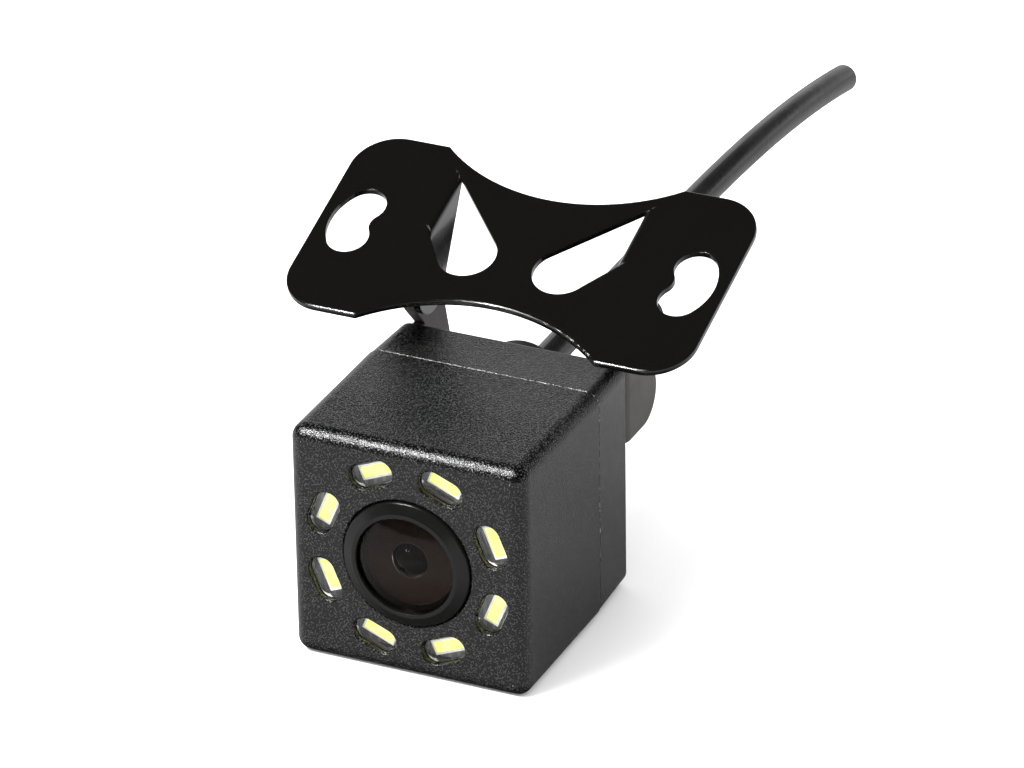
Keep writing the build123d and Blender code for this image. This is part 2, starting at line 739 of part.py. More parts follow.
with BuildPart() as lens_barrel:
    add(
        turned(
            (GLASS_LIP, GLASS_OPENING),
            (-RING_CREST, GLASS_OPENING),
            (-RING_CREST, RING_CREST_RADIUS),
            (-RING_SKIRT, RING_RADIUS),
            (RING_BACK, RING_RADIUS),
            (RING_BACK, BARREL_RADIUS),
            (BARREL_END, BARREL_RADIUS),
            (BARREL_END, BARREL_BORE),
            (GLASS_BACK, BARREL_BORE),
            (GLASS_BACK, GLASS_RADIUS + FIT),
            (GLASS_SEAT, GLASS_RADIUS + FIT),
        )
    )
    rings = lens_barrel.edges().filter_by(GeomType.CIRCLE).group_by(Axis.Y)
    fillet(rings[0].sort_by(SortBy.RADIUS)[-1], CREST_EASE)
    skirt = lens_barrel.edges().filter_by(GeomType.CIRCLE).filter_by(
        lambda ring: abs(ring.radius - RING_RADIUS) < FIT
    )
    fillet(skirt.sort_by(Axis.Y)[0], RING_EASE)
lens_barrel.part.label = "lens_barrel"
export_step(lens_barrel.part, "parts/lens_barrel.step")

with BuildPart() as front_lens:
    add(lens_element(GLASS_FRONT, GLASS_BACK, GLASS_RADIUS, GLASS_CURVE, -GLASS_HOLLOW, HOLLOW_SHARE))
front_lens.part.label = "front_lens"
export_step(front_lens.part, "parts/front_lens.step")

with BuildPart() as aperture_stop:
    add(
        turned(
            (GLASS_BACK + FIT, APERTURE_RADIUS),
            (GLASS_BACK + FIT, BARREL_BORE - FIT),
            (APERTURE_BACK, BARREL_BORE - FIT),
            (APERTURE_BACK, APERTURE_RADIUS + APERTURE_FLARE),
        )
    )
aperture_stop.part.label = "aperture_stop"
export_step(aperture_stop.part, "parts/aperture_stop.step")

with BuildPart() as middle_lens:
    add(lens_element(MIDDLE_FRONT, MIDDLE_BACK, INNER_GLASS_RADIUS, MIDDLE_CURVE, MIDDLE_CURVE, BULGE_SHARE))
middle_lens.part.label = "middle_lens"
export_step(middle_lens.part, "parts/middle_lens.step")

with BuildPart() as lens_spacer:
    add(
        turned(
            (MIDDLE_BACK + FIT, BARREL_BORE - FIT),
            (SPACER_END, BARREL_BORE - FIT),
            (SPACER_END, SPACER_BORE),
            (MIDDLE_BACK + FIT, SPACER_BORE),
        )
    )
lens_spacer.part.label = "lens_spacer"
export_step(lens_spacer.part, "parts/lens_spacer.step")

with BuildPart() as rear_lens:
    add(lens_element(REAR_FRONT, REAR_BACK, INNER_GLASS_RADIUS, REAR_CURVE, REAR_CURVE, BULGE_SHARE))
rear_lens.part.label = "rear_lens"
export_step(rear_lens.part, "parts/rear_lens.step")

with BuildPart() as infrared_filter:
    with BuildSketch(facing(BARREL_END - FILTER_THICK)):
        Circle(INNER_GLASS_RADIUS)
    extrude(amount=-FILTER_THICK)
infrared_filter.part.label = "infrared_filter"
export_step(infrared_filter.part, "parts/infrared_filter.step")

with BuildPart() as lens_o_ring:
    with BuildSketch(side_plane(0)):
        with Locations((O_RING_DEPTH, O_RING_CIRCLE)):
            Circle(O_RING_RADIUS)
    revolve(axis=OPTICAL_AXIS)
lens_o_ring.part.label = "lens_o_ring"
export_step(lens_o_ring.part, "parts/lens_o_ring.step")

with BuildPart() as lens_holder:
    with BuildSketch(facing(HOLDER_FRONT)):
        Circle(HOLDER_NECK)
    extrude(amount=-(HOLDER_BASE - HOLDER_FRONT))
    with BuildSketch(facing(HOLDER_BASE)):
        RectangleRounded(HOLDER_SIZE, HOLDER_SIZE, HOLDER_ROUND)
    extrude(amount=-(SENSOR_BOARD_DEPTH - HOLDER_BASE))
    with BuildSketch(facing(HOLDER_FRONT)):
        Circle(BARREL_RADIUS + FIT)
    extrude(amount=-(BARREL_END + FIT - HOLDER_FRONT), mode=Mode.SUBTRACT)
    with BuildSketch(facing(BARREL_END)):
        Rectangle(SENSOR_SPACE, SENSOR_SPACE)
    extrude(amount=-(SENSOR_BOARD_DEPTH - BARREL_END), mode=Mode.SUBTRACT)
    with BuildSketch(facing(SENSOR_BOARD_DEPTH)):
        with Locations(*HOLDER_SCREWS):
            Circle(HOLDER_SCREW_RADIUS + FIT)
    extrude(amount=HOLDER_SCREW_BITE, mode=Mode.SUBTRACT)
lens_holder.part.label = "lens_holder"
export_step(lens_holder.part, "parts/lens_holder.step")

# ======================================================================================
# Electronics: image sensor, two boards on stand-offs, and the parts on them
# ======================================================================================


def board(depth, thick):
    """Circuit board across the head's cavity with holes for its stand-offs."""
    with BuildPart() as plate:
        with BuildSketch(facing(depth)):
            add(cavity_outline(COVER_BOARD_GAP))
            with Locations(*STANDOFFS):
                Circle(PIN_RADIUS + FIT, mode=Mode.SUBTRACT)
        extrude(amount=-thick)
    return plate.part


with BuildPart() as image_sensor:
    with BuildSketch(facing(SENSOR_BOARD_DEPTH - SENSOR_THICK)):
        Rectangle(SENSOR_WIDE, SENSOR_TALL)
    extrude(amount=-SENSOR_THICK)
image_sensor.part.label = "image_sensor"
export_step(image_sensor.part, "parts/image_sensor.step")

with BuildPart() as sensor_board:
    add(board(SENSOR_BOARD_DEPTH, SENSOR_BOARD_THICK))
    with BuildSketch(facing(SENSOR_BOARD_DEPTH)):
        with Locations(*HOLDER_SCREWS):
            Circle(HOLDER_SCREW_RADIUS + SCREW_CLEARANCE)
    extrude(amount=-SENSOR_BOARD_THICK, mode=Mode.SUBTRACT)
sensor_board.part.label = "sensor_board"
export_step(sensor_board.part, "parts/sensor_board.step")

holder_screw = pan_screw(
    HOLDER_SCREW_RADIUS, HOLDER_SCREW_BITE + SENSOR_BOARD_THICK - FIT, HOLDER_HEAD_RADIUS, HOLDER_HEAD_HEIGHT
)
with BuildPart() as holder_screws:
    with Locations(
        *[
            Location((x, FRONT_Y + SENSOR_BOARD_DEPTH + SENSOR_BOARD_THICK, LENS_Z + z), BACKWARD)
            for x, z in HOLDER_SCREWS
        ]
    ):
        add(holder_screw)
holder_screws.part.label = "holder_screws"
export_step(holder_screws.part, "parts/holder_screws.step")

with BuildPart() as board_standoffs:
    with BuildSketch(facing(SENSOR_BOARD_DEPTH + SENSOR_BOARD_THICK)):
        with Locations(*STANDOFFS):
            Circle(STANDOFF_RADIUS)
    extrude(amount=-(POWER_BOARD_DEPTH - SENSOR_BOARD_DEPTH - SENSOR_BOARD_THICK))
    with BuildSketch(facing(SENSOR_BOARD_DEPTH)):
        with Locations(*STANDOFFS):
            Circle(PIN_RADIUS)
    extrude(amount=-(POWER_BOARD_DEPTH + POWER_BOARD_THICK - SENSOR_BOARD_DEPTH))
board_standoffs.part.label = "board_standoffs"
export_step(board_standoffs.part, "parts/board_standoffs.step")

with BuildPart() as power_board:
    add(board(POWER_BOARD_DEPTH, POWER_BOARD_THICK))
power_board.part.label = "power_board"
export_step(power_board.part, "parts/power_board.step")

with BuildPart() as video_chip:
    with BuildSketch(facing(POWER_BOARD_DEPTH + POWER_BOARD_THICK)):
        with Locations((0, CHIP_Z)):
            Rectangle(CHIP_SIZE, CHIP_SIZE)
    extrude(amount=-CHIP_THICK)
    chamfer(video_chip.edges().group_by(Axis.Y)[-1], CHIP_EASE)
video_chip.part.label = "video_chip"
export_step(video_chip.part, "parts/video_chip.step")

with BuildPart() as filter_capacitors:
    with BuildSketch(facing(POWER_BOARD_DEPTH)):
        with Locations((-CAPACITOR_X, CAPACITOR_Z), (CAPACITOR_X, CAPACITOR_Z)):
            Circle(CAPACITOR_RADIUS)
    extrude(amount=CAPACITOR_HEIGHT)
    fillet(filter_capacitors.edges().group_by(Axis.Y)[0], CAPACITOR_EASE)
filter_capacitors.part.label = "filter_capacitors"
export_step(filter_capacitors.part, "parts/filter_capacitors.step")


WIRE_PLACES = [
    (WIRE_CIRCLE * math.cos(math.radians(angle)), WIRE_CIRCLE * math.sin(math.radians(angle)))
    for angle in (90, 210, 330)
]

with BuildPart() as board_connector:
    with BuildSketch(facing(POWER_BOARD_DEPTH + POWER_BOARD_THICK)):
        with Locations((0, CABLE_Z)):
            Rectangle(CONNECTOR_WIDE, CONNECTOR_TALL)
    extrude(amount=-CONNECTOR_HEIGHT)
    with BuildSketch(facing(CONNECTOR_BACK)):
        with Locations(*[(x, CABLE_Z + z) for x, z in WIRE_PLACES]):
            Circle(WIRE_RADIUS + FIT)
    extrude(amount=WIRE_PLUG, mode=Mode.SUBTRACT)
board_connector.part.label = "board_connector"
export_step(board_connector.part, "parts/board_connector.step")

# ======================================================================================
# Cable: a moulded gland, the jacket and three wires
# ======================================================================================


def cable_rod(radius, start, x=0, z=0):
    """Round rod along the cable's line, moved sideways by x and up by z, from a depth to its end."""
    bend = (CABLE_LENGTH - CABLE_STRAIGHT) / 3
    line_plane = Plane(origin=(x, FRONT_Y, LENS_Z + CABLE_Z + z), x_dir=(0, 1, 0), z_dir=(1, 0, 0))
    with BuildPart() as rod:
        with BuildLine(line_plane) as path:
            Line((start, 0), (CABLE_STRAIGHT, 0))
            Bezier(
                (CABLE_STRAIGHT, 0),
                (CABLE_STRAIGHT + bend, 0),
                (CABLE_STRAIGHT + 2 * bend, CABLE_LIFT),
                (CABLE_LENGTH, -CABLE_DROOP),
            )
        with BuildSketch(Plane(origin=path.wire() @ 0, z_dir=path.wire() % 0)):
            Circle(radius)
        sweep(path=path.wire())
    return rod.part


with BuildPart() as cable_gland:
    add(
        turned(
            (GLAND_INNER, CABLE_RADIUS + FIT),
            (GLAND_INNER, GLAND_FLANGE),
            (HEAD_BACK - COVER_FLOOR, GLAND_FLANGE),
            (HEAD_BACK - COVER_FLOOR, GLAND_NECK - FIT),
            (HEAD_BACK + YOKE_SHEET, GLAND_NECK - FIT),
            (HEAD_BACK + YOKE_SHEET, GLAND_DOME),
            (HEAD_BACK + YOKE_SHEET + GLAND_SHOULDER, GLAND_DOME),
            (HEAD_BACK + YOKE_SHEET + GLAND_LENGTH, GLAND_NOSE),
            (HEAD_BACK + YOKE_SHEET + GLAND_LENGTH, CABLE_RADIUS + FIT),
        ).moved(Location((0, 0, CABLE_Z)))
    )
    fillet(cable_gland.edges().filter_by(GeomType.CIRCLE).group_by(Axis.Y)[-2], GLAND_ROUND)
cable_gland.part.label = "cable_gland"
export_step(cable_gland.part, "parts/cable_gland.step")

with BuildPart() as cable_jacket:
    add(cable_rod(CABLE_RADIUS, GLAND_INNER))
    add(cable_rod(CABLE_BORE, GLAND_INNER), mode=Mode.SUBTRACT)
cable_jacket.part.label = "cable_jacket"
export_step(cable_jacket.part, "parts/cable_jacket.step")

WIRE_START = CONNECTOR_BACK - WIRE_PLUG

with BuildPart() as power_wire:
    add(cable_rod(WIRE_RADIUS, WIRE_START, *WIRE_PLACES[0]))
power_wire.part.label = "power_wire"
export_step(power_wire.part, "parts/power_wire.step")

with BuildPart() as ground_wire:
    add(cable_rod(WIRE_RADIUS, WIRE_START, *WIRE_PLACES[1]))
ground_wire.part.label = "ground_wire"
export_step(ground_wire.part, "parts/ground_wire.step")

with BuildPart() as video_wire:
    add(cable_rod(WIRE_RADIUS, WIRE_START, *WIRE_PLACES[2]))
video_wire.part.label = "video_wire"
export_step(video_wire.part, "parts/video_wire.step")
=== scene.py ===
import json
import math

import bmesh
import bpy
from mathutils import Matrix, Vector


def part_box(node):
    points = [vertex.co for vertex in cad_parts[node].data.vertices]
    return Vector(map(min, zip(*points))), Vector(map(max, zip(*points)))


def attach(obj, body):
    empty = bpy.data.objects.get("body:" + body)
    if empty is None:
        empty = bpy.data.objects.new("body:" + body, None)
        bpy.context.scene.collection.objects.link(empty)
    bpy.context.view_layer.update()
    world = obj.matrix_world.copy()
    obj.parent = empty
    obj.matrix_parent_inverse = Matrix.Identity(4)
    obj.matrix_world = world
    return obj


# Looks for a square backup camera on a black bow-tie bracket. Metres, +Z up, lens looking along -Y.

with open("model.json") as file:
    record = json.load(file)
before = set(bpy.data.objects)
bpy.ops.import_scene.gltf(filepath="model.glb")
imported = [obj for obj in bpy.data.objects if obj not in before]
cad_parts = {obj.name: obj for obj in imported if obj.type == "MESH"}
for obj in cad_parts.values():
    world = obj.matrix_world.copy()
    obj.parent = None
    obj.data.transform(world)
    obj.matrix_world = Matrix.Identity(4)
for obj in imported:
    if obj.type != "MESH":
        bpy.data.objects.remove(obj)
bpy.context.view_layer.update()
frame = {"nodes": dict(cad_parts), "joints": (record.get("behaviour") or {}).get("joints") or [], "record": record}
MM = 0.001

# ---- viewing angle: degrees, and the aim's offset from the lens centre --------------------------
VIEW_AZIMUTH = 24.962
VIEW_ELEVATION = 27.819
VIEW_ROLL = -0.894
VIEW_DISTANCE = 641.8 * MM
FOCAL_LENGTH = 231.1
VIEW_DEPTH = 12.0 * MM
VIEW_RIGHT = 5.133 * MM
VIEW_UP = 12.17 * MM
SENSOR_WIDTH = 36.0
CLIP_NEAR, CLIP_FAR = 0.01, 10.0

# ---- light: sky strengths, edges of the mirrored backdrop, and the way to the lamps -------------
SKY_SEEN = 1.0
SKY_FILL = 2.0
SKY_DARK = 0.035
SKY_BACKDROP = 1.3
BACKDROP_START, BACKDROP_FULL = 0.35, 0.75
BACKDROP_TOP, BACKDROP_LOW = 0.39, 0.24
BACKDROP_SLOPE = 0.2
LAMP_AZIMUTH = -38.6
LAMP_ELEVATION = 53.3

# ---- floor: its painted shade in reflections, at shallow and at steep angles --------------------
FLOOR_RADIUS = 1.5
FLOOR_SIDES = 96
FLOOR_MIRRORED_FAR = 0.32
FLOOR_MIRRORED_NEAR = 0.025
FLOOR_SHALLOW, FLOOR_STEEP = 0.5, 0.85

# ---- places taken from the frame ----------------------------------------------------------------
HEAD_LOW, HEAD_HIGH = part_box("front_housing")
LENS_CENTRE = Vector((0, HEAD_LOW.y, (HEAD_LOW.z + HEAD_HIGH.z) / 2))
PIVOT = Vector(frame["joints"][0]["pos_m"])
LENS_LINE = (LENS_CENTRE, 1)
PIVOT_LINE = (PIVOT, 0)
FLOOR_Z = HEAD_LOW.z


# ==============================================================================================
# Shader building
# ==============================================================================================


class Shader:
    """A node material. Most methods add nodes and return the output to wire into the next ones."""

    def __init__(self, name, **principled):
        self.material = bpy.data.materials.new(name)
        self.material.use_nodes = True
        self.tree = self.material.node_tree
        self.tree.nodes.clear()
        self.output = self.tree.nodes.new("ShaderNodeOutputMaterial")
        self.surface = self.tree.nodes.new("ShaderNodeBsdfPrincipled")
        self.tree.links.new(self.surface.outputs[0], self.output.inputs["Surface"])
        self.place = self.tree.nodes.new("ShaderNodeTexCoord").outputs["Object"]
        for key, value in principled.items():
            self.put(key.replace("_", " "), value)

    def wire(self, socket, value):
        """Links an output to an input socket, or sets the socket to a plain value."""
        if isinstance(value, bpy.types.NodeSocket):
            self.tree.links.new(value, socket)
        else:
            socket.default_value = value

    def put(self, name, value):
        """Sets or links an input of the surface by its name, in capitals or not."""
        for socket in self.surface.inputs:
            if socket.name.lower() == name.lower():
                self.wire(socket, value)

    def node(self, kind, settings=None, **inputs):
        """Adds a node with its settings, and sets or links its inputs by name."""
        made = self.tree.nodes.new("ShaderNode" + kind)
        for key, value in (settings or {}).items():
            setattr(made, key, value)
        for key, value in inputs.items():
            self.wire(made.inputs[key.replace("_", " ")], value)
        return made

    def noise(self, size, detail=2.0, roughness=0.5, place=None):
        """Noise from 0 to 1 with features of about the given size in metres."""
        return self.node(
            "TexNoise",
            Vector=self.place if place is None else place,
            Scale=1 / size,
            Detail=detail,
            Roughness=roughness,
        ).outputs[0]

    def cells(self, size, randomness=1.0):
        """Distance to the nearest of scattered points that lie about a size apart."""
        made = self.node("TexVoronoi", Vector=self.place, Scale=1 / size, Randomness=randomness)
        return made.outputs["Distance"]

    def math(self, operation, *values):
        """One arithmetic step on outputs or plain numbers."""
        made = self.node("Math", {"operation": operation})
        for socket, value in zip(made.inputs, values):
            self.wire(socket, value)
        return made.outputs[0]

    def remap(self, value, low, high, to_low, to_high):
        """Straight-line remap of a value, held inside its new range."""
        made = self.node("MapRange", {"clamp": True}, Value=value)
        limits = {"From Min": low, "From Max": high, "To Min": to_low, "To Max": to_high}
        for key, number in limits.items():
            made.inputs[key].default_value = number
        return made.outputs[0]

    def blend(self, share, low, high):
        """Colour mix from low to high."""
        made = self.node("Mix", {"data_type": "RGBA"})
        self.wire(made.inputs["Factor"], share)
        self.wire(made.inputs["A"], (*low, 1) if isinstance(low, tuple) else low)
        self.wire(made.inputs["B"], (*high, 1) if isinstance(high, tuple) else high)
        return made.outputs["Result"]

    def edges(self, radius):
        """1 where an edge lies within a radius, 0 on open faces."""
        bevel = self.node("Bevel", {"samples": 4}, Radius=radius)
        plain = self.node("NewGeometry").outputs["Normal"]
        dot = self.node("VectorMath", {"operation": "DOT_PRODUCT"})
        self.wire(dot.inputs[0], bevel.outputs[0])
        self.wire(dot.inputs[1], plain)
        return self.remap(dot.outputs["Value"], 0.99, 0.8, 0.0, 1.0)

    def relief(self, *layers, soften=None):
        """Bump from (height, depth in metres) layers over faces whose edges are softened by a radius."""
        normal = None
        if soften:
            normal = self.node("Bevel", {"samples": 4}, Radius=soften).outputs[0]
        for height, depth in layers:
            bump = self.node("Bump", Height=height, Distance=depth, Strength=1.0)
            if normal is not None:
                self.wire(bump.inputs["Normal"], normal)
            normal = bump.outputs[0]
        self.put("normal", normal)

    def radius_from(self, centre, axis):
        """Distance of each point from a line through centre along a world axis (0, 1 or 2)."""
        moved = self.node("VectorMath", {"operation": "SUBTRACT"})
        self.wire(moved.inputs[0], self.place)
        moved.inputs[1].default_value = centre
        flat = self.node("VectorMath", {"operation": "MULTIPLY"})
        self.wire(flat.inputs[0], moved.outputs[0])
        flat.inputs[1].default_value = [0 if i == axis else 1 for i in range(3)]
        length = self.node("VectorMath", {"operation": "LENGTH"})
        self.wire(length.inputs[0], flat.outputs[0])
        return length.outputs["Value"]

    def turning_marks(self, centre, axis, pitch):
        """Fine rings round a line, one per pitch in metres."""
        radius = self.radius_from(centre, axis)
        return self.math("SINE", self.math("MULTIPLY", radius, 2 * math.pi / pitch))

    def stretch(self, factors):
        """Object coordinates scaled per axis, for grain that runs one way."""
        made = self.node("VectorMath", {"operation": "MULTIPLY"})
        self.wire(made.inputs[0], self.place)
        made.inputs[1].default_value = factors
        return made.outputs[0]

    def let_shadows_through(self):
        """Clear glass that doesn't block light on its way to what lies behind it."""
        path = self.node("LightPath")
        clear = self.node("BsdfTransparent")
        either = self.math("MAXIMUM", path.outputs["Is Shadow Ray"], path.outputs["Is Diffuse Ray"])
        mixed = self.node("MixShader")
        self.wire(mixed.inputs[0], either)
        self.wire(mixed.inputs[1], self.surface.outputs[0])
        self.wire(mixed.inputs[2], clear.outputs[0])
        self.tree.links.new(mixed.outputs[0], self.output.inputs["Surface"])
        return self


# ==============================================================================================
# Materials
# ==============================================================================================


def bracket_gloss_black():
    """Glossy black paint on sheet, thin and a little worn at the edges."""
    s = Shader("bracket_gloss_black", specular_ior_level=0.5, coat_weight=0.8, coat_roughness=0.05)
    cloud = s.noise(6 * MM, 3)
    lighter_edges = s.math("MULTIPLY", s.edges(0.12 * MM), s.remap(s.noise(1.1 * MM, 4), 0.45, 0.7, 0.0, 1.0))
    s.put("base color", s.blend(lighter_edges, (0.0022, 0.0021, 0.0017), (0.012, 0.011, 0.010)))
    s.put("roughness", s.remap(cloud, 0.3, 0.7, 0.1, 0.18))
    s.relief((s.noise(1.6 * MM, 2), 0.012 * MM), (s.noise(0.35 * MM, 2), 0.0022 * MM), soften=0.28 * MM)
    return s.material


def housing_speckled_grey():
    """Fine-grained casting under satin paint: tiny glossy bumps that glint one by one, and pale flecks along the
    edges that are painted highlights.
    """
    s = Shader("housing_speckled_grey", specular_ior_level=0.45)
    bumps = s.noise(0.19 * MM, 2, 0.6)
    cloud = s.noise(2.5 * MM, 3)
    speck = s.remap(s.cells(0.2 * MM), 0.46, 0.22, 0.0, 1.0)
    # Pale flecks on the edges are painted highlights: they stand in for edge glints in broken dots, not for
    # chipped paint.
    edge_glint_flecks = s.remap(s.noise(0.33 * MM, 3), 0.56, 0.6, 0.0, 1.0)
    lighter_edges = s.math("MULTIPLY", s.edges(0.1 * MM), edge_glint_flecks)
    tone = s.blend(speck, (0.001, 0.001, 0.001), (0.030, 0.0295, 0.029))
    s.put("base color", s.blend(lighter_edges, tone, (0.6, 0.6, 0.6)))
    s.put("roughness", s.remap(cloud, 0.3, 0.7, 0.17, 0.23))
    s.relief((bumps, 0.055 * MM), (speck, 0.011 * MM), soften=0.08 * MM)
    return s.material


def yoke_dark_grey():
    """Smooth satin paint, slightly warm."""
    s = Shader("yoke_dark_grey", specular_ior_level=0.5)
    cloud = s.noise(3 * MM, 4)
    lighter_edges = s.math("MULTIPLY", s.edges(0.15 * MM), s.remap(s.noise(0.6 * MM, 3), 0.42, 0.7, 0.0, 1.0))
    tone = s.blend(cloud, (0.030, 0.025, 0.024), (0.040, 0.033, 0.032))
    s.put("base color", s.blend(lighter_edges, tone, (0.06, 0.055, 0.052)))
    s.put("roughness", s.remap(cloud, 0.3, 0.7, 0.34, 0.46))
    s.relief((s.noise(0.5 * MM, 3), 0.008 * MM), soften=0.12 * MM)
    return s.material


def dark_metal(name, tone, roughness, turned_about=None):
    """Black-oxide or anodised metal, with turning marks when it is turned about a line."""
    s = Shader(name, metallic=0.6, specular_ior_level=0.5)
    cloud = s.noise(1.2 * MM, 4)
    bare = tuple(min(1.0, c * 5 + 0.05) for c in tone)
    lighter_edges = s.math("MULTIPLY", s.edges(0.12 * MM), s.remap(cloud, 0.4, 0.7, 0.0, 1.0))
    s.put("base color", s.blend(lighter_edges, tone, bare))
    s.put("roughness", s.remap(cloud, 0.3, 0.7, roughness * 0.8, roughness * 1.3))
    layers = [(s.noise(0.3 * MM, 2), 0.004 * MM)]
    if turned_about:
        layers.append((s.turning_marks(*turned_about, 0.09 * MM), 0.002 * MM))
    s.relief(*layers, soften=0.08 * MM)
    return s.material


def bright_metal(name, tone, roughness):
    """Bare metal with a cloudy tone and an uneven polish."""
    s = Shader(name, metallic=1.0)
    cloud = s.noise(0.9 * MM, 4)
    s.put("base color", s.blend(cloud, tuple(c * 0.8 for c in tone), tone))
    s.put("roughness", s.remap(cloud, 0.3, 0.7, roughness * 0.75, roughness * 1.4))
    s.relief((s.noise(0.25 * MM, 3), 0.004 * MM), soften=0.06 * MM)
    return s.material


def barrel_black():
    """Black ring with fine turning marks round the lens axis."""
    s = Shader("barrel_black", specular_ior_level=0.2, coat_weight=0.06, coat_roughness=0.05)
    rings = s.turning_marks(*LENS_LINE, 0.16 * MM)
    cloud = s.noise(0.9 * MM, 3)
    lighter_edges = s.math("MULTIPLY", s.edges(0.07 * MM), s.remap(cloud, 0.5, 0.7, 0.0, 0.7))
    s.put("base color", s.blend(lighter_edges, (0.004, 0.004, 0.0038), (0.03, 0.028, 0.026)))
    s.put("roughness", s.remap(cloud, 0.3, 0.7, 0.14, 0.26))
    s.relief((rings, 0.0016 * MM), (s.noise(0.3 * MM, 2), 0.0015 * MM), soften=0.06 * MM)
    return s.material


def lens_glass():
    """Glass with a brown tint that stands in for the coating's brownish reflection (painted reflection colour); it
    mirrors little and shows the dark stop behind it.
    """
    s = Shader("lens_glass", transmission_weight=1.0, ior=1.22, specular_ior_level=0.3)
    smear = s.noise(2.2 * MM, 3)
    # The brown tint is painted reflection colour of the coating, not a tint of the glass itself.
    s.put("base color", s.blend(smear, (0.5, 0.38, 0.31), (0.58, 0.45, 0.37)))
    s.put("roughness", s.remap(smear, 0.45, 0.8, 0.0, 0.03))
    s.relief((s.noise(5 * MM, 1), 0.002 * MM))
    return s.let_shadows_through().material


def filter_glass():
    """Pale blue-green infrared filter."""
    s = Shader("filter_glass", transmission_weight=1.0, ior=1.5)
    smear = s.noise(3 * MM, 2)
    s.put("base color", s.blend(smear, (0.6, 0.78, 0.85), (0.7, 0.86, 0.92)))
    s.put("roughness", s.remap(smear, 0.4, 0.8, 0.0, 0.04))
    return s.let_shadows_through().material


def window_clear():
    """Clear moulded plug with faint flow marks."""
    s = Shader("window_clear", transmission_weight=1.0, ior=1.49)
    mould = s.noise(0.8 * MM, 3)
    s.put("base color", s.blend(mould, (0.93, 0.95, 0.93), (0.98, 1.0, 0.98)))
    s.put("roughness", s.remap(mould, 0.4, 0.75, 0.02, 0.12))
    s.relief((mould, 0.01 * MM), (s.noise(0.2 * MM, 1), 0.001 * MM))
    return s.let_shadows_through().material


def plastic(name, low, high, roughness, grain=0.4 * MM):
    """Moulded or drawn plastic or rubber: cloudy tone, uneven gloss and a fine surface grain."""
    s = Shader(name, specular_ior_level=0.5)
    cloud = s.noise(4 * grain, 4)
    s.put("base color", s.blend(s.remap(cloud, 0.35, 0.65, 0.0, 1.0), low, high))
    s.put("roughness", s.remap(cloud, 0.3, 0.7, roughness * 0.85, roughness * 1.2))
    s.relief((s.noise(grain, 3), 0.006 * MM), soften=0.08 * MM)
    return s.material


def led_phosphor():
    """Lemon-yellow grainy phosphor with a faint painted glow: its emission stands in for light reaching it through
    the window.
    """
    s = Shader("led_phosphor", specular_ior_level=0.5, roughness=0.35)
    grain = s.noise(0.12 * MM, 3)
    spread = s.noise(1.4 * MM, 2)
    tone = s.blend(s.remap(grain, 0.35, 0.65, 0.0, 1.0), (0.8, 0.82, 0.1), (0.92, 0.92, 0.24))
    pale = s.blend(s.remap(spread, 0.42, 0.62, 0.0, 0.4), tone, (0.97, 0.98, 0.5))
    s.put("base color", pale)
    # The emission is painted light, not a lit LED: it brightens the phosphor as if lit through the window.
    s.put("emission color", pale)
    s.put("emission strength", 0.5)
    s.relief((grain, 0.02 * MM))
    return s.material


def circuit_board(name, mask, pad):
    """Solder mask over raised tracks, with bare pads scattered at random."""
    s = Shader(name, specular_ior_level=0.6, coat_weight=0.4, coat_roughness=0.2)
    tracks = s.node("TexBrick", {"offset": 0.37}, Vector=s.place, Scale=1 / (1.9 * MM))
    tracks.inputs["Mortar Size"].default_value = 0.09
    line = tracks.outputs["Fac"]
    pads = s.remap(s.cells(2.6 * MM, 0.6), 0.14, 0.16, 1.0, 0.0)
    tone = s.blend(line, mask, tuple(min(1.0, c * 1.5 + 0.01) for c in mask))
    s.put("base color", s.blend(pads, tone, pad))
    s.put("metallic", s.math("MULTIPLY", pads, 0.8))
    s.put("roughness", s.remap(s.noise(1.5 * MM, 3), 0.3, 0.7, 0.25, 0.45))
    s.relief((line, 0.02 * MM), (pads, 0.02 * MM), soften=0.05 * MM)
    return s.material


def cable_black():
    """Drawn jacket: grain along the cable, soft gloss and a little dust."""
    s = Shader("cable_black", specular_ior_level=0.6)
    drawn = s.noise(0.5 * MM, 3, place=s.stretch((1, 0.08, 1)))
    cloud = s.noise(7 * MM, 4)
    dust = s.remap(s.noise(0.22 * MM, 2), 0.66, 0.78, 0.0, 0.35)
    s.put("base color", s.blend(dust, (0.0045, 0.0045, 0.005), (0.04, 0.04, 0.04)))
    s.put("roughness", s.remap(cloud, 0.3, 0.7, 0.2, 0.32))
    s.relief((drawn, 0.012 * MM), (s.noise(0.15 * MM, 2), 0.002 * MM))
    return s.material


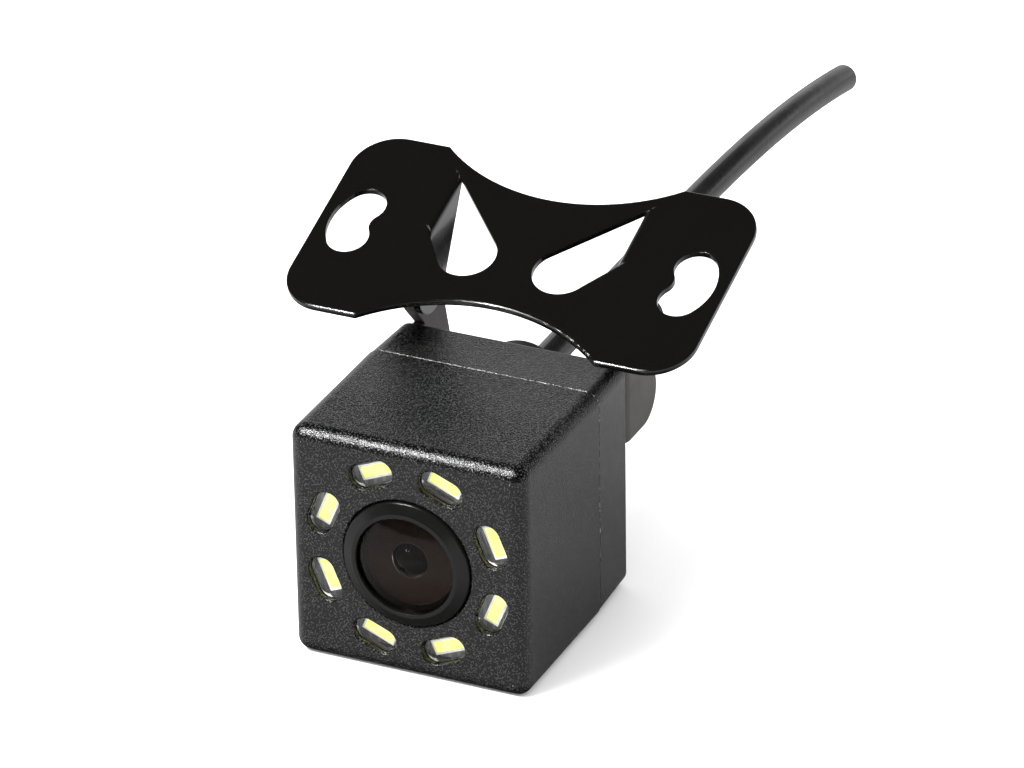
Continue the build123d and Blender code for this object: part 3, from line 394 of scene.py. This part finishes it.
FINE = 0.15 * MM
MATERIALS = {
    "bracket_gloss_black": bracket_gloss_black,
    "housing_speckled_grey": housing_speckled_grey,
    "yoke_dark_grey": yoke_dark_grey,
    "barrel_black": barrel_black,
    "lens_glass": lens_glass,
    "filter_glass": filter_glass,
    "window_clear": window_clear,
    "led_phosphor": led_phosphor,
    "cable_black": cable_black,
    "screw_black_oxide": lambda: dark_metal("screw_black_oxide", (0.011, 0.011, 0.011), 0.42, PIVOT_LINE),
    "washer_dark_steel": lambda: dark_metal("washer_dark_steel", (0.05, 0.05, 0.05), 0.36),
    # The stop's dark brown tone is partly painted reflection colour of the lens coating, over a black stop.
    "stop_black": lambda: dark_metal("stop_black", (0.006, 0.0032, 0.0022), 0.55, LENS_LINE),
    "small_screw_steel": lambda: bright_metal("small_screw_steel", (0.5, 0.5, 0.49), 0.3),
    "standoff_brass": lambda: bright_metal("standoff_brass", (0.75, 0.56, 0.25), 0.3),
    "capacitor_aluminium": lambda: bright_metal("capacitor_aluminium", (0.72, 0.72, 0.73), 0.35),
    "board_green": lambda: circuit_board("board_green", (0.012, 0.09, 0.03), (0.75, 0.6, 0.3)),
    # The white board's mask is a grey 0.17, darkened as painted shade for the window recesses.
    "board_white": lambda: circuit_board("board_white", (0.17, 0.17, 0.17), (0.3, 0.3, 0.28)),
    "led_white": lambda: plastic("led_white", (0.78, 0.78, 0.72), (0.88, 0.88, 0.84), 0.35, FINE),
    "seal_rubber": lambda: plastic("seal_rubber", (0.012, 0.012, 0.012), (0.02, 0.02, 0.02), 0.65),
    "gland_rubber": lambda: plastic("gland_rubber", (0.012, 0.012, 0.012), (0.022, 0.022, 0.022), 0.55),
    "holder_black": lambda: plastic("holder_black", (0.015, 0.015, 0.015), (0.025, 0.025, 0.025), 0.5),
    "sensor_dark": lambda: plastic("sensor_dark", (0.02, 0.015, 0.03), (0.05, 0.035, 0.06), 0.15),
    "chip_black": lambda: plastic("chip_black", (0.015, 0.015, 0.015), (0.028, 0.028, 0.028), 0.5, FINE),
    "connector_white": lambda: plastic("connector_white", (0.66, 0.64, 0.56), (0.78, 0.76, 0.7), 0.4),
    "wire_red": lambda: plastic("wire_red", (0.42, 0.012, 0.01), (0.55, 0.03, 0.02), 0.35),
    "wire_black": lambda: plastic("wire_black", (0.012, 0.012, 0.012), (0.025, 0.025, 0.025), 0.35),
    "wire_yellow": lambda: plastic("wire_yellow", (0.62, 0.45, 0.03), (0.75, 0.58, 0.06), 0.35),
}
finishes = {slot: make() for slot, make in MATERIALS.items()}
for part in frame["record"]["subparts"]:
    shown = frame["nodes"][part["node"]]
    shown.data.materials.clear()
    shown.data.materials.append(finishes[part["material_slot"]])


# ==============================================================================================
# Copper strands at the cut end of the cable's wires
# ==============================================================================================

WIRES = ("power_wire", "ground_wire", "video_wire")
STRAND_RADIUS = 0.085 * MM
STRAND_LENGTH = 0.45 * MM
STRAND_SPREAD = 0.02 * MM
STRAND_SIDES = 14
STRAND_LEAN = 0.05
STRAND_SHORTEST = 0.85
STRAND_STEP = 0.06
STRAND_RING = 6
TIP_START = 0.9
DOME_SHARE = 0.5
DOME_STEPS = 3
END_DEPTH = 0.2 * MM
END_FACING = 0.9


def wire_end(node):
    """Centre and direction of the flat cut end of a wire."""
    mesh = frame["nodes"][node].data
    far = max(face.center.y for face in mesh.polygons)
    ends = [f for f in mesh.polygons if f.normal.y > END_FACING and f.center.y > far - END_DEPTH]
    area = sum(face.area for face in ends)
    centre = sum((face.center * face.area for face in ends), Vector()) / area
    normal = sum((face.normal * face.area for face in ends), Vector()).normalized()
    return centre, normal


def add_strand(shape, foot, along, length):
    """One round strand with a domed tip, its foot on the wire's cut end."""
    turn = along.to_track_quat("Z", "Y").to_matrix().to_4x4()
    made = bmesh.ops.create_cone(
        shape,
        cap_ends=True,
        segments=STRAND_SIDES,
        radius1=STRAND_RADIUS,
        radius2=STRAND_RADIUS,
        depth=length,
        matrix=Matrix.Translation(foot + along * length / 2) @ turn,
    )
    tip = [v for v in made["verts"] if (v.co - foot).dot(along) > length * TIP_START]
    rim = [e for e in shape.edges if e.verts[0] in tip and e.verts[1] in tip]
    dome = STRAND_RADIUS * DOME_SHARE
    bmesh.ops.bevel(shape, geom=rim, offset=dome, segments=DOME_STEPS, affect="EDGES", profile=0.5)


def make_strands(node, copper):
    """Seven strands, one in the middle and six round it, each cut at a slightly different length."""
    centre, along = wire_end(node)
    side = along.cross(Vector((1, 0, 0))).normalized()
    other = along.cross(side)
    shape = bmesh.new()
    add_strand(shape, centre, along, STRAND_LENGTH)
    for i in range(STRAND_RING):
        angle = 2 * math.pi * i / STRAND_RING
        out = side * math.cos(angle) + other * math.sin(angle)
        foot = centre + out * (2 * STRAND_RADIUS + STRAND_SPREAD)
        lean = (along + out * STRAND_LEAN * (i % 3)).normalized()
        add_strand(shape, foot, lean, STRAND_LENGTH * (STRAND_SHORTEST + STRAND_STEP * (i % 4)))
    mesh = bpy.data.meshes.new(node + "_strands")
    shape.to_mesh(mesh)
    shape.free()
    for face in mesh.polygons:
        face.use_smooth = True
    mesh.materials.append(copper)
    strands = bpy.data.objects.new(node + "_strands", mesh)
    bpy.context.scene.collection.objects.link(strands)
    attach(strands, "camera_head")


copper = bright_metal("copper_strand", (0.85, 0.45, 0.26), 0.28)
for wire in WIRES:
    make_strands(wire, copper)


# ==============================================================================================
# Stage: floor, lights and camera
# ==============================================================================================


def direction(azimuth, elevation):
    """Unit vector from the object: azimuth 0 is in front of the lens, 90 is to its right (+X)."""
    a, e = math.radians(azimuth), math.radians(elevation)
    return Vector((math.sin(a) * math.cos(e), -math.cos(a) * math.cos(e), math.sin(e)))


def make_floor():
    """White floor whose colour in the object's reflections is painted shade, darkest straight below."""
    mesh = bpy.data.meshes.new("floor")
    shape = bmesh.new()
    bmesh.ops.create_circle(shape, cap_ends=True, segments=FLOOR_SIDES, radius=FLOOR_RADIUS)
    shape.to_mesh(mesh)
    shape.free()
    floor = bpy.data.objects.new("floor", mesh)
    floor.location = (0, 0, FLOOR_Z)
    bpy.context.scene.collection.objects.link(floor)
    s = Shader("floor_pale", specular_ior_level=0.2)
    pale = s.blend(s.noise(0.3, 2), (0.87, 0.87, 0.87), (0.9, 0.9, 0.9))
    incoming = s.node("SeparateXYZ", Vector=s.node("NewGeometry").outputs["Incoming"])
    steep = s.math("ABSOLUTE", incoming.outputs["Z"])
    mirrored = s.remap(steep, FLOOR_SHALLOW, FLOOR_STEEP, FLOOR_MIRRORED_FAR, FLOOR_MIRRORED_NEAR)
    reflected_painted_shade = s.node("CombineColor", Red=mirrored, Green=mirrored, Blue=mirrored).outputs[0]
    # Glossy rays see the floor painted darker, standing in for shade under the object.
    s.put("base color", s.blend(s.node("LightPath").outputs["Is Glossy Ray"], pale, reflected_painted_shade))
    s.put("roughness", s.remap(s.noise(0.05, 3), 0.3, 0.7, 0.6, 0.75))
    mesh.materials.append(s.material)


def softbox(name, distance, side, radiance):
    """Square light at upper left, facing the object, given by how bright its surface looks."""
    light = bpy.data.lights.new(name, "AREA")
    light.shape = "RECTANGLE"
    light.size = side
    light.size_y = side
    light.energy = radiance * math.pi * side**2
    lamp = bpy.data.objects.new(name, light)
    away = direction(LAMP_AZIMUTH, LAMP_ELEVATION)
    lamp.location = LENS_CENTRE + away * distance
    lamp.rotation_mode = "QUATERNION"
    lamp.rotation_quaternion = away.to_track_quat("Z", "Y")
    bpy.context.scene.collection.objects.link(lamp)


def make_world():
    """Pale to the camera and in soft light; reflections see only a low backdrop behind the object."""
    world = bpy.data.worlds.new("studio")
    bpy.context.scene.world = world
    world.use_nodes = True
    tree = world.node_tree
    tree.nodes.clear()

    def node(kind, *values):
        made = tree.nodes.new("ShaderNode" + kind)
        for socket, value in zip(made.inputs, values):
            if isinstance(value, bpy.types.NodeSocket):
                tree.links.new(value, socket)
            elif value is not None:
                socket.default_value = value
        return made

    def sky(strength):
        return node("Background", None, strength).outputs[0]

    split = node("SeparateXYZ", tree.nodes.new("ShaderNodeTexCoord").outputs["Generated"])
    behind = node("MapRange", split.outputs["Y"], BACKDROP_START, BACKDROP_FULL, 0.0, 1.0).outputs[0]
    height = node("Math", split.outputs["X"], BACKDROP_SLOPE, split.outputs["Z"])
    height.operation = "MULTIPLY_ADD"
    low = node("MapRange", height.outputs[0], BACKDROP_TOP, BACKDROP_LOW, 0.0, 1.0).outputs[0]
    share = node("Math", behind, low)
    share.operation = "MULTIPLY"
    glow = node("MapRange", share.outputs[0], 0.0, 1.0, SKY_DARK, SKY_BACKDROP).outputs[0]
    path = tree.nodes.new("ShaderNodeLightPath")
    fill = node("MixShader", path.outputs["Is Diffuse Ray"], sky(glow), sky(SKY_FILL)).outputs[0]
    seen = node("MixShader", path.outputs["Is Camera Ray"], fill, sky(SKY_SEEN)).outputs[0]
    tree.links.new(seen, tree.nodes.new("ShaderNodeOutputWorld").inputs[0])


def make_camera():
    """Camera at the viewing angle, aimed a little behind and above the lens."""
    back = direction(VIEW_AZIMUTH, VIEW_ELEVATION)
    level_right = (-back).cross(Vector((0, 0, 1))).normalized()
    level_up = level_right.cross(-back)
    roll = math.radians(VIEW_ROLL)
    right = level_right * math.cos(roll) + level_up * math.sin(roll)
    up = level_up * math.cos(roll) - level_right * math.sin(roll)
    target = LENS_CENTRE + Vector((0, VIEW_DEPTH, 0)) + right * VIEW_RIGHT + up * VIEW_UP
    data = bpy.data.cameras.new("camera")
    data.lens = FOCAL_LENGTH
    data.sensor_width = SENSOR_WIDTH
    data.clip_start = CLIP_NEAR
    data.clip_end = CLIP_FAR
    camera = bpy.data.objects.new("camera", data)
    camera.rotation_mode = "QUATERNION"
    camera.rotation_quaternion = Matrix((right, up, back)).transposed().to_quaternion()
    camera.location = target + back * VIEW_DISTANCE
    bpy.context.scene.collection.objects.link(camera)
    bpy.context.scene.camera = camera


make_floor()
make_world()
softbox("key", distance=0.55, side=0.21, radiance=19)
softbox("spark", distance=0.54, side=0.05, radiance=420)
make_camera()
bpy.context.scene.view_settings.view_transform = "Standard"
